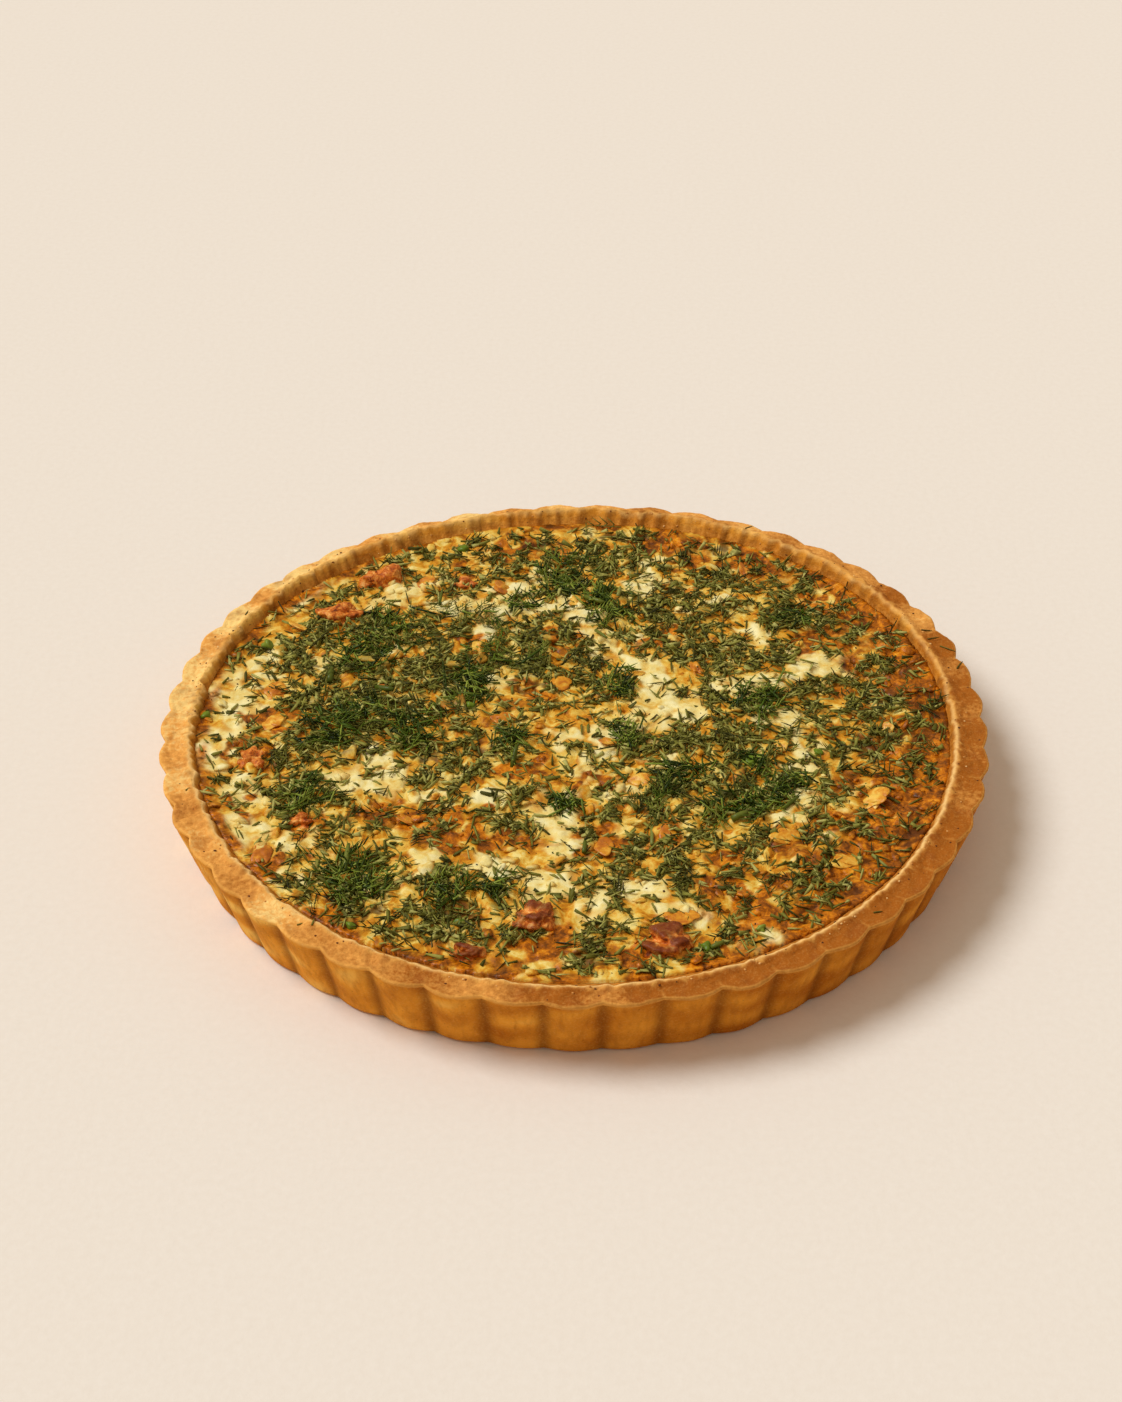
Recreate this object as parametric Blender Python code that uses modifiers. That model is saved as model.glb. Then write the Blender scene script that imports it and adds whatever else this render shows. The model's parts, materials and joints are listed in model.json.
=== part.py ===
"""A baked quiche: a fluted pastry case, its set custard filling, and the salmon flakes that sit in it.

Units are metres, +Z is up, and the origin is the middle of the flat base.
Angles run round the case from +X towards +Y, and +Y is the side with the higher ridge.
"""

from collections import namedtuple
import math

import bmesh
import bpy
from mathutils import Matrix, Vector, noise

# Driving dimensions of the pastry case.
FLUTES = 49
FLUTE_PHASE = 0.15  # of one flute, from +X to the first crease
STEPS_PER_FLUTE = 6
HEIGHT = 0.0225
CREASE_RADIUS = 0.1223  # rim, in the creases between flutes
BASE_RADIUS = 0.1163  # foot, in the creases
TOP_FLUTE_DEPTH = 0.0019
BASE_FLUTE_DEPTH = 0.0010
RIDGE_RADIUS = 0.1164  # inner edge of the rim's top face
RIDGE_WIDTH = 0.0018
RIDGE_RISE = 0.0004  # above the rim's outer edge
FOOT_CHAMFER = 0.0007
FLOOR_THICKNESS = 0.0045
FLOOR_RADIUS = 0.1095

# The case was pressed in by hand, so it isn't quite round or level.
# Each wave is: waves a turn, size, and the angle in degrees that it is counted from.
Wave = namedtuple("Wave", "count size angle")
ROUNDNESS = (  # as shares of the radius
    Wave(1, 0.0025, 100.0), Wave(2, 0.0110, 145.0), Wave(3, 0.0075, 125.0), Wave(4, 0.0030, 185.0)
)
HOLLOW_SHIFT = (Wave(1, 0.0012, 110.0),)  # the hollow for the filling lies off centre
RIDGE_OVAL = (Wave(2, 0.00135, 180.0),)  # and the ridge round it is a little oval
FAR_LIFT = 0.0012  # extra height of the ridge at +Y

# Driving dimensions of the filling.
FILL_RADIUS = 0.1129  # where the filling meets the case
FILL_DROP = 0.0022  # below the rim
FILL_STEPS = 84
FILL_RINGS = 9
BUMP_HEIGHT = 0.0007
BUMP_SCALE = 45.0  # noise waves for each metre
GAP = 0.0004  # between pieces that touch

# Salmon flakes: x, y, half length, half width, half height, turn in degrees.
Flake = namedtuple("Flake", "x y length width height turn")
FLAKES = (
    Flake(-0.063, 0.081, 0.0066, 0.0056, 0.0044, 20),
    Flake(-0.075, 0.060, 0.0082, 0.0056, 0.0042, 35),
    Flake(-0.036, 0.078, 0.0050, 0.0034, 0.0030, 10),
    Flake(-0.012, -0.088, 0.0064, 0.0054, 0.0042, 60),
    Flake(0.024, -0.098, 0.0070, 0.0062, 0.0044, -30),
    Flake(-0.029, -0.1015, 0.0052, 0.0036, 0.0034, -15),
    Flake(-0.095, -0.016, 0.0052, 0.0044, 0.0034, 75),
    Flake(-0.078, -0.046, 0.0042, 0.0034, 0.0032, 0),
)
FLAKE_SUNK = 0.0008  # how far a flake's middle is below the filling's surface
FLAKE_ROUGHNESS = 0.16
LARGE_FLAKE = 0.0060  # half length from which a flake has the finer mesh

# Base colour, roughness.
CRUST_FINISH = ((0.52, 0.25, 0.075), 0.72)
FILLING_FINISH = ((0.50, 0.34, 0.07), 0.45)
SALMON_FINISH = ((0.60, 0.20, 0.06), 0.50)

Ring = namedtuple("Ring", "radius height flute lift shift oval")


def clear_scene():
    for thing in list(bpy.data.objects):
        bpy.data.objects.remove(thing, do_unlink=True)


def collection(name):
    made = bpy.data.collections.new(name)
    bpy.context.scene.collection.children.link(made)
    return made


def finish(name, look):
    colour, roughness = look
    material = bpy.data.materials.new(name)
    material.use_nodes = True
    shader = material.node_tree.nodes["Principled BSDF"]
    shader.inputs["Base Color"].default_value = (*colour, 1.0)
    shader.inputs["Roughness"].default_value = roughness
    shader.inputs["Metallic"].default_value = 0.0
    return material


def turned(name, profile, steps):
    """A closed mesh turned about Z from (radius, height) points that start and end on the axis."""
    outline = bmesh.new()
    points = [outline.verts.new((radius, 0.0, height)) for radius, height in profile]
    for start, end in zip(points, points[1:]):
        outline.edges.new((start, end))
    mesh = bpy.data.meshes.new(name)
    outline.to_mesh(mesh)
    outline.free()
    guide = bpy.data.objects.new(name, mesh)
    bpy.context.scene.collection.objects.link(guide)
    screw = guide.modifiers.new("Turn", "SCREW")
    screw.steps = screw.render_steps = steps
    screw.use_merge_vertices = True
    screw.merge_threshold = 0.0001
    graph = bpy.context.evaluated_depsgraph_get()
    solid = bpy.data.meshes.new_from_object(guide.evaluated_get(graph))
    bpy.data.objects.remove(guide)
    bpy.data.meshes.remove(mesh)
    solid.name = name
    return solid


def place(name, mesh, material, home):
    thing = bpy.data.objects.new(name, mesh)
    home.objects.link(thing)
    mesh.materials.clear()
    mesh.materials.append(material)
    mesh.shade_smooth()
    mesh.set_sharp_from_angle(angle=math.radians(50))
    return thing


def waved(waves, angle):
    """The sum of these waves at this angle."""
    return sum(
        wave.size * math.cos(wave.count * angle - math.radians(wave.angle)) for wave in waves
    )


def lobe(angle):
    """0 in a crease and 1 on a flute's crest."""
    return abs(math.sin(FLUTES * angle / 2 - math.pi * FLUTE_PHASE))


def farness(angle):
    """0 at the side towards -Y, and 1 at the side towards +Y."""
    return (0.5 + 0.5 * math.sin(angle)) ** 2


def crust_rings():
    """The case's profile, from the axis out over its floor, up, over the rim, down and back."""
    fill_height = HEIGHT - FILL_DROP
    ridge_height = HEIGHT + RIDGE_RISE
    crest = RIDGE_RADIUS + RIDGE_WIDTH
    foot = BASE_RADIUS - FOOT_CHAMFER
    return (
        Ring(0.0, FLOOR_THICKNESS, 0.0, 0.0, 0, 0),
        Ring(FLOOR_RADIUS, FLOOR_THICKNESS, 0.0, 0.0, 1, 0),
        Ring(FILL_RADIUS, fill_height, 0.0, 0.0, 1, 0),
        Ring(RIDGE_RADIUS, ridge_height, 0.0, FAR_LIFT, 1, 1),
        Ring(crest, ridge_height, 0.0, FAR_LIFT, 1, 1),
        Ring(CREASE_RADIUS, HEIGHT, TOP_FLUTE_DEPTH, 0.0, 0, 0),
        Ring(BASE_RADIUS, FOOT_CHAMFER, BASE_FLUTE_DEPTH, 0.0, 0, 0),
        Ring(foot, 0.0, BASE_FLUTE_DEPTH, 0.0, 0, 0),
        Ring(0.0, 0.0, 0.0, 0.0, 0, 0),
    )


def make_crust(material, home):
    rings = crust_rings()
    mesh = turned("crust", [(ring.radius, ring.height) for ring in rings], FLUTES * STEPS_PER_FLUTE)
    mesh.transform(Matrix.Rotation(math.tau * FLUTE_PHASE / FLUTES, 4, "Z"))
    for vertex in mesh.vertices:
        radius = math.hypot(vertex.co.x, vertex.co.y)
        ring = min(
            rings, key=lambda one: math.hypot(one.radius - radius, one.height - vertex.co.z)
        )
        if not ring.radius:
            continue
        angle = math.atan2(vertex.co.y, vertex.co.x)
        wider = ring.radius + ring.flute * lobe(angle)
        wider += ring.shift * waved(HOLLOW_SHIFT, angle) + ring.oval * waved(RIDGE_OVAL, angle)
        wider *= 1 + waved(ROUNDNESS, angle)
        height = ring.height + ring.lift * farness(angle)
        vertex.co = (wider * math.cos(angle), wider * math.sin(angle), height)
    return place("crust", mesh, material, home)


def bumps(x, y):
    """The height of the filling's surface over its mean level."""
    return BUMP_HEIGHT * noise.noise((BUMP_SCALE * x, BUMP_SCALE * y, 0.0))


def make_filling(material, home):
    """A disc that fills the case up to below its rim, with its edge held down to the case."""
    level = HEIGHT - FILL_DROP
    top = [
        (FILL_RADIUS * ring / FILL_RINGS, level) for ring in range(FILL_RINGS)
    ] + [(FILL_RADIUS - GAP, level)]
    under = [(FLOOR_RADIUS - GAP, FLOOR_THICKNESS + GAP), (0.0, FLOOR_THICKNESS + GAP)]
    mesh = turned("filling", top + under, FILL_STEPS)
    for vertex in mesh.vertices:
        x, y, height = vertex.co
        angle = math.atan2(y, x)
        radius = math.hypot(x, y)
        share = min(1.0, radius / (FLOOR_RADIUS - GAP))
        grown = (radius + share * waved(HOLLOW_SHIFT, angle)) * (1 + waved(ROUNDNESS, angle))
        inner = 1 - (radius / FILL_RADIUS) ** 8
        if height > level / 2:
            height += max(0.0, inner) * bumps(x, y)
        vertex.co = (grown * math.cos(angle), grown * math.sin(angle), height)
    return place("filling", mesh, material, home)


def lump(name, flake, seed, grown=0.0):
    """A rough egg-shaped lump, sunk partly in the filling; grown moves its skin outwards."""
    made = bmesh.new()
    fine = 3 if flake.length >= LARGE_FLAKE else 2
    bmesh.ops.create_icosphere(made, subdivisions=fine, radius=1.0)
    for vertex in made.verts:
        rough = noise.noise(1.4 * vertex.co + Vector((7.3 * seed, 0.0, 0.0)))
        scale = 1 + FLAKE_ROUGHNESS * rough
        x, y, z = vertex.co * scale
        vertex.co = (x * flake.length, y * flake.width, z * flake.height)
    made.normal_update()
    pushes = [vertex.normal * grown for vertex in made.verts]
    for vertex, push in zip(made.verts, pushes):
        vertex.co += push
    mesh = bpy.data.meshes.new(name)
    made.to_mesh(mesh)
    made.free()
    level = HEIGHT - FILL_DROP - FLAKE_SUNK
    mesh.transform(
        Matrix.Translation((flake.x, flake.y, level))
        @ Matrix.Rotation(math.radians(flake.turn), 4, "Z")
    )
    return mesh


def make_flakes(filling, material, home, cutters):
    """One solid for each flake, and the pocket in the filling that it lies in."""
    for number, flake in enumerate(FLAKES, start=1):
        name = f"salmon_{number}"
        place(name, lump(name, flake, number), material, home)
        pocket_name = f"pocket_{number}"
        pocket = bpy.data.objects.new(pocket_name, lump(pocket_name, flake, number, 1.3 * GAP))
        cutters.objects.link(pocket)
        pocket.hide_render = True
        pocket.display_type = "WIRE"
        cut = filling.modifiers.new(pocket_name, "BOOLEAN")
        cut.operation = "DIFFERENCE"
        cut.object = pocket


def centre(crust):
    """Moves everything sideways so that the case's box has its middle on the origin."""
    xs = [vertex.co.x for vertex in crust.data.vertices]
    ys = [vertex.co.y for vertex in crust.data.vertices]
    move = Matrix.Translation((-(min(xs) + max(xs)) / 2, -(min(ys) + max(ys)) / 2, 0.0))
    for thing in bpy.data.objects:
        thing.data.transform(move)


def main():
    clear_scene()
    quiche = collection("quiche")
    cutters = collection("cutters")
    crust = make_crust(finish("crust", CRUST_FINISH), quiche)
    filling = make_filling(finish("filling", FILLING_FINISH), quiche)
    make_flakes(filling, finish("salmon", SALMON_FINISH), quiche, cutters)
    centre(crust)


main()
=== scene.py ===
"""The looks of a whole baked quiche: fluted pastry, herbed custard, salmon flakes and scattered dill.

Metres, +Z up. The case's own sizes come first; everything else is worked out from them and the frame.
"""

from collections import namedtuple
import json
import math

import bpy
import numpy as np
from mathutils import Euler, Matrix, Vector
from mathutils.bvhtree import BVHTree

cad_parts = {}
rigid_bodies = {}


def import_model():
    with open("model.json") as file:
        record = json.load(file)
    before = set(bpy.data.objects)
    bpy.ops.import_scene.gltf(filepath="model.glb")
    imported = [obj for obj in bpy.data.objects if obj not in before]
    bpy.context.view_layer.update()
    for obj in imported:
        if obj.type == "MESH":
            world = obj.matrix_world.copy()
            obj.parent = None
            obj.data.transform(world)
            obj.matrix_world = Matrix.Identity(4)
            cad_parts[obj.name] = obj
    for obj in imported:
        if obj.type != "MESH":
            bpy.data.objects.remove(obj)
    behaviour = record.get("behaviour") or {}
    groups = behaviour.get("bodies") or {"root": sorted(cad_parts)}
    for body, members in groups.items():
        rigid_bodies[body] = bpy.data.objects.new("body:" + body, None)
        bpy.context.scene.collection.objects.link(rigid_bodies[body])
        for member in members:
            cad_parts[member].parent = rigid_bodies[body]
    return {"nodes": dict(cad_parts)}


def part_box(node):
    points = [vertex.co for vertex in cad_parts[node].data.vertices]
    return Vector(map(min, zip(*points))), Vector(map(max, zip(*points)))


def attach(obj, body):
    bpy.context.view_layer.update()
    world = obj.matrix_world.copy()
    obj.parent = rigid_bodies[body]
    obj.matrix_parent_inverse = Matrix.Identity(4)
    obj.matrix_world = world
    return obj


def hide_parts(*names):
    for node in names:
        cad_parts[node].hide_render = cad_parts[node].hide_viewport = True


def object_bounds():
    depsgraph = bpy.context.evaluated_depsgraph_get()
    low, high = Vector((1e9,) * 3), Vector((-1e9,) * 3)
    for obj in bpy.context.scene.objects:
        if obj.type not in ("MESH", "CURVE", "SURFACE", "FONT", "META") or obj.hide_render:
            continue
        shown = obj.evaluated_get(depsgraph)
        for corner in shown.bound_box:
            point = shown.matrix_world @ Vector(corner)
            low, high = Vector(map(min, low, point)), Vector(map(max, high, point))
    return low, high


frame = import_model()
cad_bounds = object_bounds()

MM = 0.001
CEILING = cad_bounds[1].z + 0.4 * MM  # nothing loose stands higher than this

# The pastry case.
FLUTES = 49
FLUTE_PHASE = 0.15
STEPS_PER_FLUTE = 20
HEIGHT = 0.0225
CREASE_RADIUS = 0.1223
TOP_FLUTE_DEPTH = 0.0019
BASE_FLUTE_DEPTH = 0.0010
RIDGE_RADIUS = 0.1164
FAR_LIFT = 0.0012
# Each wave is: waves a turn, size, and the angle in degrees that it is counted from.
Wave = namedtuple("Wave", "count size angle")
ROUNDNESS = (  # as shares of the radius
    Wave(1, 0.0025, 100.0), Wave(2, 0.0110, 145.0), Wave(3, 0.0075, 125.0), Wave(4, 0.0030, 185.0)
)
HOLLOW_SHIFT = (Wave(1, 0.0012, 110.0),)
RIDGE_OVAL = (Wave(2, 0.00135, 180.0),)

# The filling.
FILL_RADIUS = 0.1129
FILL_LEVEL = HEIGHT - 0.0022
FILL_REACH = FILL_RADIUS * 1.035  # half the side of the grid that the custard is cut from
FILL_CELLS = 342  # along each side of it
FILL_OVERLAP = 0.5 * MM  # how far the custard runs into the pastry
FILL_DEPTH = 10 * MM
FILL_TAPER = 0.985  # the underside's width as a share of the top's
FILL_MARGIN = 1.0 * MM  # loose bits keep this far from the pastry

Station = namedtuple("Station", "radius height flute ridge crumb ripple")
Spot = namedtuple("Spot", "x y length width turn", defaults=(0,))


def angle_of(x, y):
    return np.arctan2(y, x)


def waved(terms, angle):
    """The sum of these waves at this angle."""
    total = 0.0
    for term in terms:
        total = total + term.size * np.cos(term.count * angle - math.radians(term.angle))
    return total


def roundness(angle):
    """The share by which the case is wider, or narrower, at this angle."""
    return waved(ROUNDNESS, angle)


def fill_edge(angle):
    """How far from the middle the filling meets the pastry."""
    return (FILL_RADIUS + waved(HOLLOW_SHIFT, angle)) * (1 + roundness(angle))


def lobe(angle):
    """0 in a crease between flutes and 1 on a crest."""
    return np.abs(np.sin(FLUTES * angle / 2 - math.pi * FLUTE_PHASE))


def farness(angle):
    return (0.5 + 0.5 * np.sin(angle)) ** 2


def middle_of_case():
    """The middle of the case's own box, which the frame has on its origin."""
    angle = np.linspace(0, math.tau, 120 * FLUTES)
    edge = (CREASE_RADIUS + TOP_FLUTE_DEPTH * lobe(angle)) * (1 + roundness(angle))
    x, y = edge * np.cos(angle), edge * np.sin(angle)
    return Vector(((x.min() + x.max()) / 2, (y.min() + y.max()) / 2, 0.0))


HOME = -middle_of_case()


def waves(x, y, size, seed, count=20):
    """Smooth random relief with lumps about size across: mean 0, standard deviation 1."""
    draw = np.random.default_rng(seed)
    ways = draw.uniform(0, math.tau, count)
    pitches = math.pi / size * draw.uniform(0.6, 1.5, count)
    starts = draw.uniform(0, math.tau, count)
    total = np.zeros_like(x)
    for way, pitch, start in zip(ways, pitches, starts):
        total += np.cos(pitch * (x * math.cos(way) + y * math.sin(way)) + start)
    return total / math.sqrt(count / 2)


def smooth(value, low, high):
    share = np.clip((value - low) / (high - low), 0.0, 1.0)
    return share * share * (3 - 2 * share)


# Places on the filling, in millimetres from its middle: x, y, half length, half width, and the turn in
# degrees where there is one.
CREAM = [Spot(*row) for row in (
    (-53, 75, 10, 5, 35), (-58, 68, 8, 3, 10), (-37, 65, 8, 6), (-20, 74, 9, 6, 60), (-22, 63, 9, 5),
    (-5, 65, 9, 6), (-12, 88, 6, 3, 80), (-103, 15, 12, 7, 95), (-103, 3, 8, 6, 90),
    (-93, 26, 4, 3, 60), (-88, 70, 9, 3, 55), (-96, 36, 6, 3, 70), (-79, 33, 5, 5), (-56, 42, 4, 3),
    (-24, 24, 5, 4, 60), (-27, 50, 4, 8, 10), (4, 60, 6, 5), (10, 45, 9, 6, -60), (17, 34, 7, 5, -50),
    (24, 26, 7, 5, 90), (27, 14, 10, 6, -10), (20, 3, 10, 5, 20), (34, 6, 5, 4, 30), (22, 77, 7, 5, 30),
    (24, 93, 5, 3), (23, 86, 5, 3, 90), (44, 68, 6, 3, 10), (34, 60, 4, 3), (55, 50, 5, 4),
    (75, 33, 9, 6, -30), (62, 24, 13, 4, 15), (53, 18, 7, 5), (62, 5, 7, 5, 30), (45, 22, 4, 3),
    (-105, -15, 8, 5, 90), (-97, -32, 7, 6, 90), (-57, -16, 5, 4), (-62, -27, 8, 5),
    (-53, -26, 7, 5, 60), (-43, -33, 5, 4), (-93, -50, 9, 6, -60), (-43, -66, 8, 3, 60),
    (-57, -72, 6, 4), (-5, -42, 9, 7, 90), (-3, -57, 7, 6), (-24, -66, 9, 5), (-8, -73, 9, 6),
    (-3, -5, 5, 4), (-25, -35, 6, 4), (-76, -55, 6, 4), (14, -3, 7, 6), (7, -10, 4, 3), (26, -18, 4, 4),
    (3, -20, 8, 3, 90), (66, -12, 9, 5, 90), (65, -35, 6, 5, 60), (58, -45, 5, 4, 60), (28, -87, 6, 4),
    (18, -76, 7, 4, 20), (52, -97, 7, 4, 30), (70, -52, 4, 4), (12, -33, 5, 4), (3, -82, 4, 4),
    (-84, -69, 6, 4, -40),
)]
BROWNED = [Spot(*row) for row in (
    (30, 102, 14, 6), (40, 95, 8, 6), (58, 91, 11, 6, -60), (-20, 100, 10, 5), (75, 44, 11, 4, 5),
    (86, 73, 8, 6, -50), (93, 60, 9, 5, -70), (103, 32, 12, 6, 90), (100, 20, 9, 8),
    (106, 8, 14, 5, 90), (107, -12, 11, 4, 80), (95, -35, 9, 8), (90, -50, 9, 5, 50),
    (83, -68, 11, 5, 45), (72, -76, 11, 5, 40), (60, -86, 8, 4, 35), (40, -72, 9, 6, 60),
    (42, -62, 6, 4), (-28, -53, 19, 5), (-50, -43, 11, 6, -15), (-35, -42, 6, 4), (-77, -44, 5, 5),
    (-92, 4, 8, 6, 90), (-12, 18, 8, 6), (-38, 90, 5, 3), (7, -25, 6, 3), (25, -52, 8, 5, 90),
    (8, -53, 10, 6, 90), (60, -53, 9, 4), (-10, -98, 12, 7), (-30, -105, 6, 4), (14, -102, 9, 4),
    (36, -103, 8, 3, 15), (-66, -86, 7, 5, -40), (-97, -40, 6, 4, -60), (-30, 44, 5, 9), (-6, 48, 4, 7),
    (-17, -22, 8, 4), (84, 6, 6, 5), (46, -80, 7, 6), (74, 68, 4, 6), (-96, -14, 8, 4, -50),
    (-86, -66, 5, 4), (86, -27, 6, 5), (-40, 8, 6, 4), (27, 46, 7, 5),
)]
CHARRED = [Spot(*row) for row in (
    (-12, 102, 5, 3), (15, 106, 13, 2, -8), (48, 101, 3, 4), (87, 56, 4, 3), (105, 42, 2, 4),
    (108, 10, 3, 9), (85, -10, 4, 5), (97, -4, 4, 3), (94, -53, 6, 2, 55), (75, -74, 3, 2),
    (60, -85, 5, 2, 30), (-64, -13, 4, 3), (-44, -15, 4, 4), (-25, -11, 4, 3), (-58, -84, 6, 3, -30),
    (3, -103, 6, 4), (-66, -43, 3, 3), (-13, 21, 3, 3), (98, 16, 5, 3), (32, -34, 3, 3), (74, 50, 4, 3),
    (-34, -86, 7, 5),
)]
HERBY = [Spot(*row) for row in (
    (-40, 35, 22, 14), (-68, 18, 20, 16), (-62, 45, 10, 12), (-5, 45, 14, 13), (-5, 85, 9, 14),
    (15, 95, 14, 12), (-50, 86, 8, 5), (-22, 88, 8, 6), (-88, 38, 8, 11), (34, 55, 16, 20),
    (27, 70, 10, 6), (70, 60, 15, 14), (76, 85, 5, 4), (85, 20, 15, 12), (45, 38, 14, 10),
    (50, 3, 11, 14), (86, 0, 12, 10), (-70, -5, 13, 9), (-86, -20, 8, 9), (-79, -33, 10, 8),
    (-32, -12, 15, 8), (-20, -39, 8, 8), (-60, -76, 12, 8), (-38, -79, 12, 7), (-30, -90, 11, 7),
    (-42, -25, 8, 5), (30, -10, 25, 9), (60, -22, 12, 8), (100, -20, 6, 7), (20, -39, 15, 8),
    (50, -35, 13, 8), (20, -65, 18, 8), (8, -76, 12, 6), (60, -66, 7, 5), (62, -76, 6, 5),
    (76, -47, 6, 6), (8, -96, 10, 6), (42, -87, 9, 5), (-78, 55, 7, 5), (-36, 80, 6, 6), (5, 25, 10, 7),
    (-48, 12, 18, 10), (48, 80, 10, 8), (-15, 35, 12, 8), (65, 44, 7, 4), (100, 45, 4, 6),
    (40, 20, 6, 8),
)]
# Fresh green thickets: x, y, reach in millimetres.
THICKETS = (
    (-63, 44, 12), (-66, 33, 8), (-74, -2, 10), (-66, 8, 7), (-47, 0, 9), (-49, -9, 6),
    (-78, -34, 9), (-64, -69, 11), (-60, -76, 8), (43, -41, 10), (54, -36, 7), (-2, 84, 11),
    (-3, 74, 7), (10, 68, 9), (13, 60, 7), (55, 14, 8), (-33, 20, 9), (-31, 27, 7),
    (31, -22, 7), (71, 59, 6), (-1, -38, 6), (15, -6, 6), (-38, -78, 7), (-23, -74, 5),
    (16, 22, 7), (62, -27, 6), (-17, 66, 5), (-20, -8, 6), (-57, 57, 7), (52, -17, 5),
)
PEAS = (
    (-37, 99, 2.3), (-96, 43, 2.6), (-111, 5, 2.1), (51, -17, 2.3), (34, -99, 2.6),
    (49, -92, 1.9), (-61, -91, 2.0), (-32, -90, 2.0), (-32, 10, 2.2), (71, -13, 1.8),
)
# Short thick green stems: x, y, length, width in millimetres, turn in degrees.
STEMS = (
    (-75, 25, 6, 2.2, 88), (-58, 18, 7, 1.9, -35), (-18, -16, 7, 1.5, 75), (-64, -63, 10, 1.7, 86),
    (-66, -70, 7, 1.4, 40), (21, -50, 15, 1.1, 88), (46, -45, 5, 2.0, 20), (2, -57, 7, 1.3, 86),
    (6, 66, 8, 1.6, -40), (14, 70, 5, 1.3, 80), (-55, 23, 5, 1.4, 50), (-60, 11, 5, 1.4, 70),
    (12, -24, 9, 0.9, -60), (37, -99, 4, 1.5, 20), (61, -38, 7, 1.3, 50), (84, -64, 7, 0.9, -50),
    (8, 47, 7, 1.0, -60), (-43, 68, 8, 0.9, 85),
)
# Yellow cheese, written the same way.
CHEESE = [Spot(*row) for row in (
    (-49, 78, 3.2, 2.6, 20), (-23, 75, 3.6, 3.2, 70), (-86, 53, 4.4, 2.0, -25), (-91, 18, 3.4, 2.8, 60),
    (1, 66, 3.0, 2.8, 80), (37, 31, 1.8, 4.0), (37, 73, 2.2, 1.8, 10), (18, 27, 3.0, 1.6),
    (-88, -61, 2.4, 4.2, -10), (84, -37, 4.4, 3.6), (28, -87, 4.2, 2.8), (75, -63, 4.2, 2.4, 10),
    (-5, 97, 3.0, 2.8, 30), (-30, 42, 2.0, 3.6, -20), (7, -56, 2.6, 4.2, 10), (60, -53, 4.6, 2.2),
    (25, -52, 2.4, 4.0, 15), (-22, 2, 3.0, 2.0), (92, -2, 2.2, 2.0), (-90, 3, 3.0, 4.0),
    (-34, 96, 3.2, 2.2), (-48, -45, 3.0, 3.0, 40), (-60, 20, 2.6, 1.6), (10, -8, 2.6, 2.0),
    (17, -27, 3.4, 2.6), (56, 85, 3.8, 2.6, -60), (-5, 23, 3.4, 2.4, 20), (60, -10, 2.2, 2.2),
)]
LONG_SPRIGS = (
    ((-52, 62), (-43, 60), (-36, 60), (-29, 60), (-25, 56), (-23, 50), (-24, 43), (-25, 36), (-28, 25)),
    ((-36, 42), (-31, 41), (-27, 40), (-25, 34), (-20, 31), (-10, 36)),
    ((64, 28), (60, 18), (57, 12), (55, 6), (54, -2)),
    ((24, -50), (22, -38), (25, -33), (27, -29)),
)


def spread(x, y, spots, seed, ragged=2.4, size=5.0, soft=0.0):
    """1 inside the spots and 0 outside, with ragged soft edges."""
    east = x / MM + ragged * waves(x, y, size * MM, seed)
    north = y / MM + ragged * waves(x, y, size * MM, seed + 1)
    total = np.zeros_like(x)
    for spot in spots:
        turn = math.radians(spot.turn)
        along = (east - spot.x) * math.cos(turn) + (north - spot.y) * math.sin(turn)
        across = (north - spot.y) * math.cos(turn) - (east - spot.x) * math.sin(turn)
        away = np.hypot(along / spot.length, across / spot.width)
        total = np.maximum(total, 1 - smooth(away, 0.6 - soft, 1.25 + soft))
    return total


def creaminess(x, y):
    return spread(x, y, CREAM, seed=11, ragged=2.0, soft=0.25)


def edge_nearness(x, y):
    """0 inside and 1 where the filling meets the pastry."""
    inward = fill_edge(angle_of(x, y)) - np.hypot(x, y)
    return 1 - smooth(inward, 0.0, 6 * MM)


def brownness(x, y):
    """Browned patches, the side towards +X, which the oven caught, and most of the edge."""
    reach = x / MM + 0.25 * np.abs(y / MM) + 0.28 * np.maximum(-y / MM, 0)
    side = smooth(reach + 8 * waves(x, y, 9 * MM, 23), 82, 110)
    edge = edge_nearness(x, y) * np.clip(0.60 + 0.45 * waves(x, y, 7 * MM, 24), 0, 1)
    return np.maximum(np.maximum(spread(x, y, BROWNED, seed=21, soft=0.20), 0.85 * side), edge)


def charring(x, y):
    return spread(x, y, CHARRED, seed=31, ragged=1.8, size=3.0)


def herbiness(x, y):
    """How thickly the dill lies."""
    drifts = spread(x, y, HERBY, seed=41, ragged=4.5, size=5.0)
    clumps = 0.19 * waves(x, y, 7.5 * MM, 43) + 0.20 * waves(x, y, 3.2 * MM, 44)
    value = smooth(0.33 + 0.42 * drifts + clumps - 0.12 * brownness(x, y), 0.22, 0.92)
    value = value * (1 - 0.93 * smooth(creaminess(x, y), 0.0, 0.8)) * (1 - 0.35 * edge_nearness(x, y))
    return np.clip(value, 0.045, 1.0)


def fill_height(x, y):
    """The top of the custard: low swells, curds, dents, and a smooth join to the pastry."""
    swell = 0.35 * MM * waves(x, y, 22 * MM, 51)
    curds = 0.40 * MM * np.abs(waves(x, y, 5.4 * MM, 52))
    curds = curds + 0.14 * MM * np.abs(waves(x, y, 2.6 * MM, 54)) - 0.45 * MM
    fine = 0.12 * MM * waves(x, y, 1.4 * MM, 53)
    smoothness = 0.45 * creaminess(x, y)
    raised = 0.30 * MM * herbiness(x, y) + 0.40 * MM * creaminess(x, y)
    level = swell + (curds + fine) * (1 - smoothness) + raised - 0.35 * MM * charring(x, y)
    edge = edge_nearness(x, y)
    return FILL_LEVEL + level * (1 - 0.55 * edge) + 0.45 * MM * edge ** 2


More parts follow.
